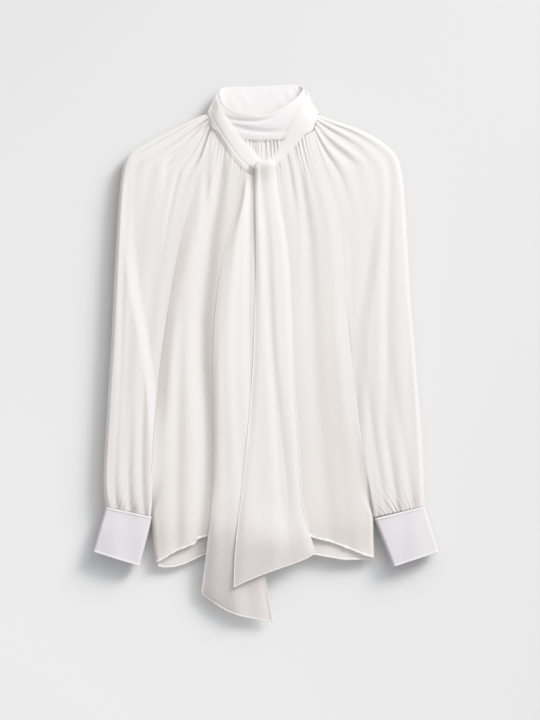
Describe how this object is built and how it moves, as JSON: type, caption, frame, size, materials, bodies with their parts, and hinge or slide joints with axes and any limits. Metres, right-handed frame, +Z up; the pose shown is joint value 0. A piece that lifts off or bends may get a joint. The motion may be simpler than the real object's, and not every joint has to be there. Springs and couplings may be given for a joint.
{
  "type": "blouse",
  "caption": "Sheer cream blouse laid out flat: stand collar with a scarf tie knotted once, gathered neckline, raglan sleeves gathered into deep cuffs and a rolled hem longer at the back.",
  "frame": {"origin": "middle of the laid-out blouse, on the surface it lies on", "axes": "+X across, towards the right of the picture; +Y along the body towards the collar; +Z up off the surface, towards the camera"},
  "size_m": [0.5372, 0.8356, 0.0418],
  "materials": {
    "body_cloth": "sheer cream crepe, matt",
    "sleeve_cloth": "sheer cream crepe, matt, single layer",
    "cuff_cloth": "interlined white crepe, matt",
    "collar_cloth": "doubled white crepe, matt",
    "tie_cloth": "sheer cream crepe, matt"
  },
  "bodies": {
    "root": {"back_panel": "body_cloth", "front_panel": "body_cloth", "sleeve_left": "sleeve_cloth", "sleeve_right": "sleeve_cloth", "cuff_left": "cuff_cloth", "cuff_right": "cuff_cloth", "collar_band": "collar_cloth", "tie_leg_left": "tie_cloth", "tie_leg_right": "tie_cloth", "tie_knot": "tie_cloth", "tie_tail_back": "tie_cloth", "tie_tail_front": "tie_cloth"}
  },
  "joints": []
}
